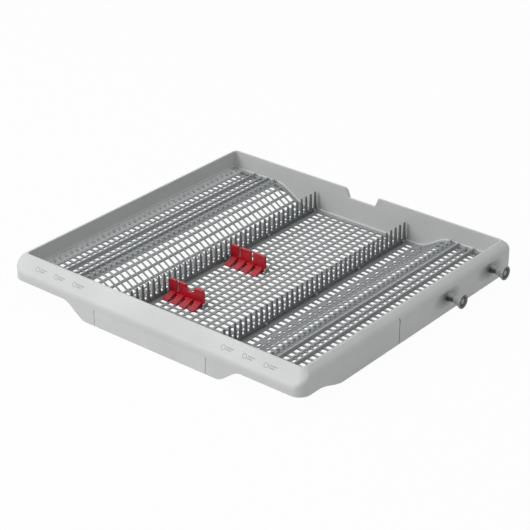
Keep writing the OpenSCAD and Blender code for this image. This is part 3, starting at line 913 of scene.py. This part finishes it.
@dataclass
class SlattedFloor:
    """The trough, the slopes beside it and the raised shelves."""

    finish: MouldedPlastic
    radius: float = 0.25 * MM
    low_nodes: tuple[str, ...] = ("trough_floor", "left_slope", "right_slope")
    shelf_nodes: tuple[str, ...] = ("left_shelf", "right_shelf")
    fin_width: float = 15 * MM
    fin_fade: float = 3 * MM

    def build(self) -> list[bpy.types.Object]:
        """Model and dress the floor panels.

        Returns:
            The panels.
        """
        low = [Moulding(node, "tray", Slot.FLOOR, self.radius, 1).build() for node in self.low_nodes]
        shelves = [Moulding(node, "tray", Slot.FLOOR, self.radius, 1).build() for node in self.shelf_nodes]
        dress(low, self.finish.material())
        dress(shelves, self.shelf_finish().material())
        return low + shelves

    def shelf_finish(self) -> MouldedPlastic:
        """Make the shelves' finish, with painted light on the fins."""
        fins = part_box("right_shelf")[1].x - self.fin_width
        return self.finish.varied(PaintedLightShelfPlastic, "shelf_plastic", pale_from=fins - self.fin_fade,
                                  pale_at=fins + self.fin_fade)


@dataclass
class TineRow:
    """One folding row: a rod with tapered tines that flare into it."""

    side: Side
    count: int = 41
    first_within: float = 8 * MM
    tip_share: float = 0.6
    foot_rise: float = 0.3 * MM
    flare_steps: tuple[tuple[float, float], ...] = ((0.8 * MM, 1.18), (0.7 * MM, 1.22))
    flare_across: float = 1.04
    rounding: float = 0.75 * MM

    def build(self) -> bpy.types.Object:
        """Model the row and let it stand for the rod and its tines.

        Returns:
            The row.
        """
        rod = self.model_rod()
        tines = self.model_tines()
        select_only(rod, tines)
        bpy.ops.object.join()
        rod.name = f"{self.side.value}_tine_row"
        smooth(rod)
        stand_for(rod, rod.name, Slot.TINE, f"{self.side.value}_tine_rod", f"{self.side.value}_tines")
        return rod

    def model_rod(self) -> bpy.types.Object:
        """Model the round rod with its rounded ends.

        Returns:
            The rod.
        """
        low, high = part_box(f"{self.side.value}_tine_rod")
        radius = (high.x - low.x) / 2
        axis = Vector(((low.x + high.x) / 2, (low.y + high.y) / 2, low.z + radius))
        bpy.ops.mesh.primitive_cylinder_add(vertices=24, radius=radius, depth=high.y - low.y, location=axis,
                                            rotation=(math.radians(90), 0, 0))
        rod = bpy.context.object
        settle(rod)
        apply_modifier(rod, "BEVEL", width=self.rounding, segments=3, limit_method="ANGLE",
                       angle_limit=math.radians(60))
        return rod

    def model_tines(self) -> bpy.types.Object:
        """Model one tine and repeat it along the rod.

        Returns:
            The tines, as one object.
        """
        low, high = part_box(f"{self.side.value}_tines")
        rod_low, rod_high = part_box(f"{self.side.value}_tine_rod")
        width = high.x - low.x
        depth = self.foot_depth()
        base = rod_low.z + (rod_high.x - rod_low.x) + self.foot_rise
        middle = Vector(((low.x + high.x) / 2, low.y + depth / 2, (base + high.z) / 2))
        pitch = (high.y - low.y - depth) / (self.count - 1)
        bpy.ops.mesh.primitive_cube_add(size=1, scale=(width, depth, high.z - base), location=middle)
        tine = bpy.context.object
        settle(tine)
        bpy.ops.object.mode_set(mode="EDIT")
        pick_points(tine, lambda place: place.z > middle.z)
        bpy.ops.transform.resize(value=(self.tip_share, self.tip_share, 1))
        pick_points(tine, lambda place: place.z < middle.z)
        for drop, growth in self.flare_steps:
            bpy.ops.mesh.extrude_region_move(TRANSFORM_OT_translate={"value": (0, 0, -drop)})
            bpy.ops.transform.resize(value=(self.flare_across, growth, 1))
        bpy.ops.object.mode_set(mode="OBJECT")
        apply_modifier(tine, "BEVEL", width=self.rounding, segments=2, limit_method="ANGLE",
                       angle_limit=math.radians(50))
        apply_modifier(tine, "ARRAY", count=self.count, use_relative_offset=False, use_constant_offset=True,
                       constant_offset_displace=(0, pitch, 0))
        return tine

    def foot_depth(self) -> float:
        """Measure the first tine's foot along the row from the CAD node.

        Returns:
            The foot's depth.
        """
        points = [point.co for point in frame["nodes"][f"{self.side.value}_tines"].data.vertices]
        start = min(place.y for place in points)
        return max(place.y for place in points if place.y < start + self.first_within) - start


@dataclass
class TineRows:
    """The folding rows of tines and the clips that hold their rods."""

    row_finish: MouldedPlastic
    clip_finish: MouldedPlastic
    clip_radius: float = 0.3 * MM

    def build(self) -> list[bpy.types.Object]:
        """Model and dress both rows.

        Returns:
            The rows and the clips.
        """
        rows = [TineRow(side).build() for side in Side]
        clips = [Moulding(f"{side.value}_tine_clips", "tray", Slot.FLOOR, self.clip_radius).build()
                 for side in Side]
        dress(rows, self.row_finish.material())
        dress(clips, self.clip_finish.material())
        return rows + clips


@dataclass
class KnifeHolders:
    """The red folding holders with their brackets and pins."""

    plate_finish: MouldedPlastic
    bracket_finish: MouldedPlastic
    pin_finish: DrawnSteel
    plate_radius: float = 0.6 * MM
    bracket_radius: float = 0.25 * MM

    def build(self) -> list[bpy.types.Object]:
        """Model and dress both holders.

        Returns:
            The plates, brackets and pins.
        """
        ends = [end.value for end in End]
        names = [f"{end}_knife_holder" for end in ends]
        plates = [Moulding(name, name, Slot.HOLDER, self.plate_radius, 3).build() for name in names]
        brackets = [Moulding(f"{end}_holder_bracket", "tray", Slot.FLOOR, self.bracket_radius).build()
                    for end in ends]
        pins = [frame["nodes"][f"{end}_holder_pin"] for end in ends]
        dress(plates, self.plate_finish.material())
        dress(brackets, self.bracket_finish.material())
        dress(pins, self.pin_finish.material())
        return plates + brackets + pins


@dataclass
class RollerSets:
    """The four rollers with their axles and push nuts."""

    wheel_finish: MouldedPlastic
    axle_finish: DrawnSteel
    radius: float = 0.7 * MM

    def build(self) -> list[bpy.types.Object]:
        """Model and dress the rollers.

        Returns:
            The wheels, axles and nuts.
        """
        places = [f"{side.value}_{end.value}" for side in Side for end in End]
        wheels = [Moulding(f"{place}_roller", f"{place}_roller", Slot.ROLLER, self.radius, 3).build()
                  for place in places]
        axles = [frame["nodes"][f"{place}_axle"] for place in places] + [frame["nodes"]["axle_push_nuts"]]
        dress(wheels, self.wheel_finish.material())
        dress(axles, self.axle_finish.material())
        return wheels + axles


@dataclass(frozen=True)
class Lamp:
    """A square soft lamp, with its place, its side and its power in watts."""

    name: str
    place: tuple[float, float, float]
    size: float
    power: float


@dataclass
class Studio:
    """A pale floor, soft lamps and the camera at the photograph's angle."""

    eye: Vector = field(default_factory=lambda: Vector((1.3596, -1.6604, 1.1523)))
    aim: Vector = field(default_factory=lambda: Vector((0.03387, -0.03867, 0.055)))
    lens: float = 121.43
    sensor: float = 36.0
    floor_size: float = 12.0
    floor_drop: float = 0.0006
    floor_tone: float = 0.62
    tone_change: float = 0.01
    white_share: float = 0.97
    sky: float = 0.42
    lamps: tuple[Lamp, ...] = (Lamp("key", (-1.4, -2.3, 2.1), 2.2, 68.0),
                               Lamp("top", (-0.3, 0.4, 2.8), 2.4, 14.0),
                               Lamp("low", (2.3, 0.3, 0.35), 0.5, 2.0))

    def build(self) -> None:
        """Set the floor, the lamps, the world and the camera."""
        self.lay_floor()
        self.light_world()
        for lamp in self.lamps:
            self.hang_lamp(lamp)
        self.place_camera()
        bpy.context.scene.view_settings.view_transform = "Standard"

    def seen_directly(self, graph: NodeGraph) -> Socket:
        """Make a value of 1 for what the camera sees directly, in gloss or through glass.

        Args:
            graph: The node tree that it is added to.

        Returns:
            The value's socket.
        """
        path = graph.node("LightPath").outputs
        seen = path["Is Camera Ray"]
        for name in ("Is Glossy Ray", "Is Transmission Ray"):
            seen = graph.number("MAXIMUM", seen, path[name])
        return seen

    def lay_floor(self) -> None:
        """Lay a pale floor that keeps a faint shadow."""
        bpy.ops.mesh.primitive_plane_add(size=self.floor_size, location=(0, 0, -self.floor_drop))
        floor = bpy.context.object
        floor.name = "studio_floor"
        paint = bpy.data.materials.new("pale_floor")
        paint.use_nodes = True
        graph = NodeGraph(paint.node_tree)
        place = graph.node("TexCoord").outputs["Object"]
        cloud = graph.node("TexNoise", Vector=place, Scale=2.0).outputs["Fac"]
        tones = [(self.floor_tone + change,) * 3 for change in (-self.tone_change, self.tone_change)]
        pale = graph.node("BsdfDiffuse", Color=graph.mix(cloud, *tones))
        white = graph.node("Emission", Color=(1.0, 1.0, 1.0, 1.0), Strength=1.0)
        share = graph.number("MULTIPLY", self.seen_directly(graph), self.white_share)
        both = graph.node("MixShader", Fac=share)
        graph.feed(both.inputs[1], pale.outputs["BSDF"])
        graph.feed(both.inputs[2], white.outputs["Emission"])
        graph.node("OutputMaterial", Surface=both.outputs["Shader"])
        dress([floor], paint)

    def light_world(self) -> None:
        """Light the scene evenly from the sky, which looks white itself."""
        world = bpy.data.worlds.new("studio_world")
        bpy.context.scene.world = world
        world.use_nodes = True
        graph = NodeGraph(world.node_tree)
        strength = graph.span(self.seen_directly(graph), 0.0, 1.0, (self.sky, 1.0))
        sky = graph.node("Background", Color=(1.0, 1.0, 1.0, 1.0), Strength=strength)
        graph.node("OutputWorld", Surface=sky.outputs["Background"])

    def hang_lamp(self, lamp: Lamp) -> None:
        """Hang a lamp so that it faces the tray.

        Args:
            lamp: The lamp.
        """
        light = bpy.data.lights.new(lamp.name, "AREA")
        light.size = lamp.size
        light.energy = lamp.power
        hung = bpy.data.objects.new(lamp.name, light)
        hung.location = lamp.place
        hung.rotation_euler = (self.aim - Vector(lamp.place)).to_track_quat("-Z", "Y").to_euler()
        bpy.context.scene.collection.objects.link(hung)

    def place_camera(self) -> None:
        """Set the camera where the photograph was taken from."""
        camera = bpy.data.cameras.new("photo_camera")
        camera.lens = self.lens
        camera.sensor_width = self.sensor
        held = bpy.data.objects.new("photo_camera", camera)
        held.location = self.eye
        held.rotation_euler = (self.aim - self.eye).to_track_quat("-Z", "Y").to_euler()
        bpy.context.scene.collection.objects.link(held)
        bpy.context.scene.camera = held


def main() -> None:
    """Build the sub-assemblies in order and report each piece."""
    logging.basicConfig(level=logging.INFO, format="%(name)s: %(message)s")
    finishes = Finishes()
    Studio().build()
    assemblies = [
        TrayWalls(finishes.frame),
        PanelMarks(finishes.mark),
        WallBeads(finishes.frame),
        SlattedFloor(finishes.floor),
        TineRows(finishes.tine, finishes.floor),
        KnifeHolders(finishes.holder, finishes.floor, finishes.steel),
        RollerSets(finishes.roller, finishes.steel),
    ]
    for assembly in assemblies:
        for piece in assembly.build():
            LOG.info("%s: %s, %d faces", type(assembly).__name__, piece.name, len(piece.data.polygons))


if __name__ == "__main__":
    main()
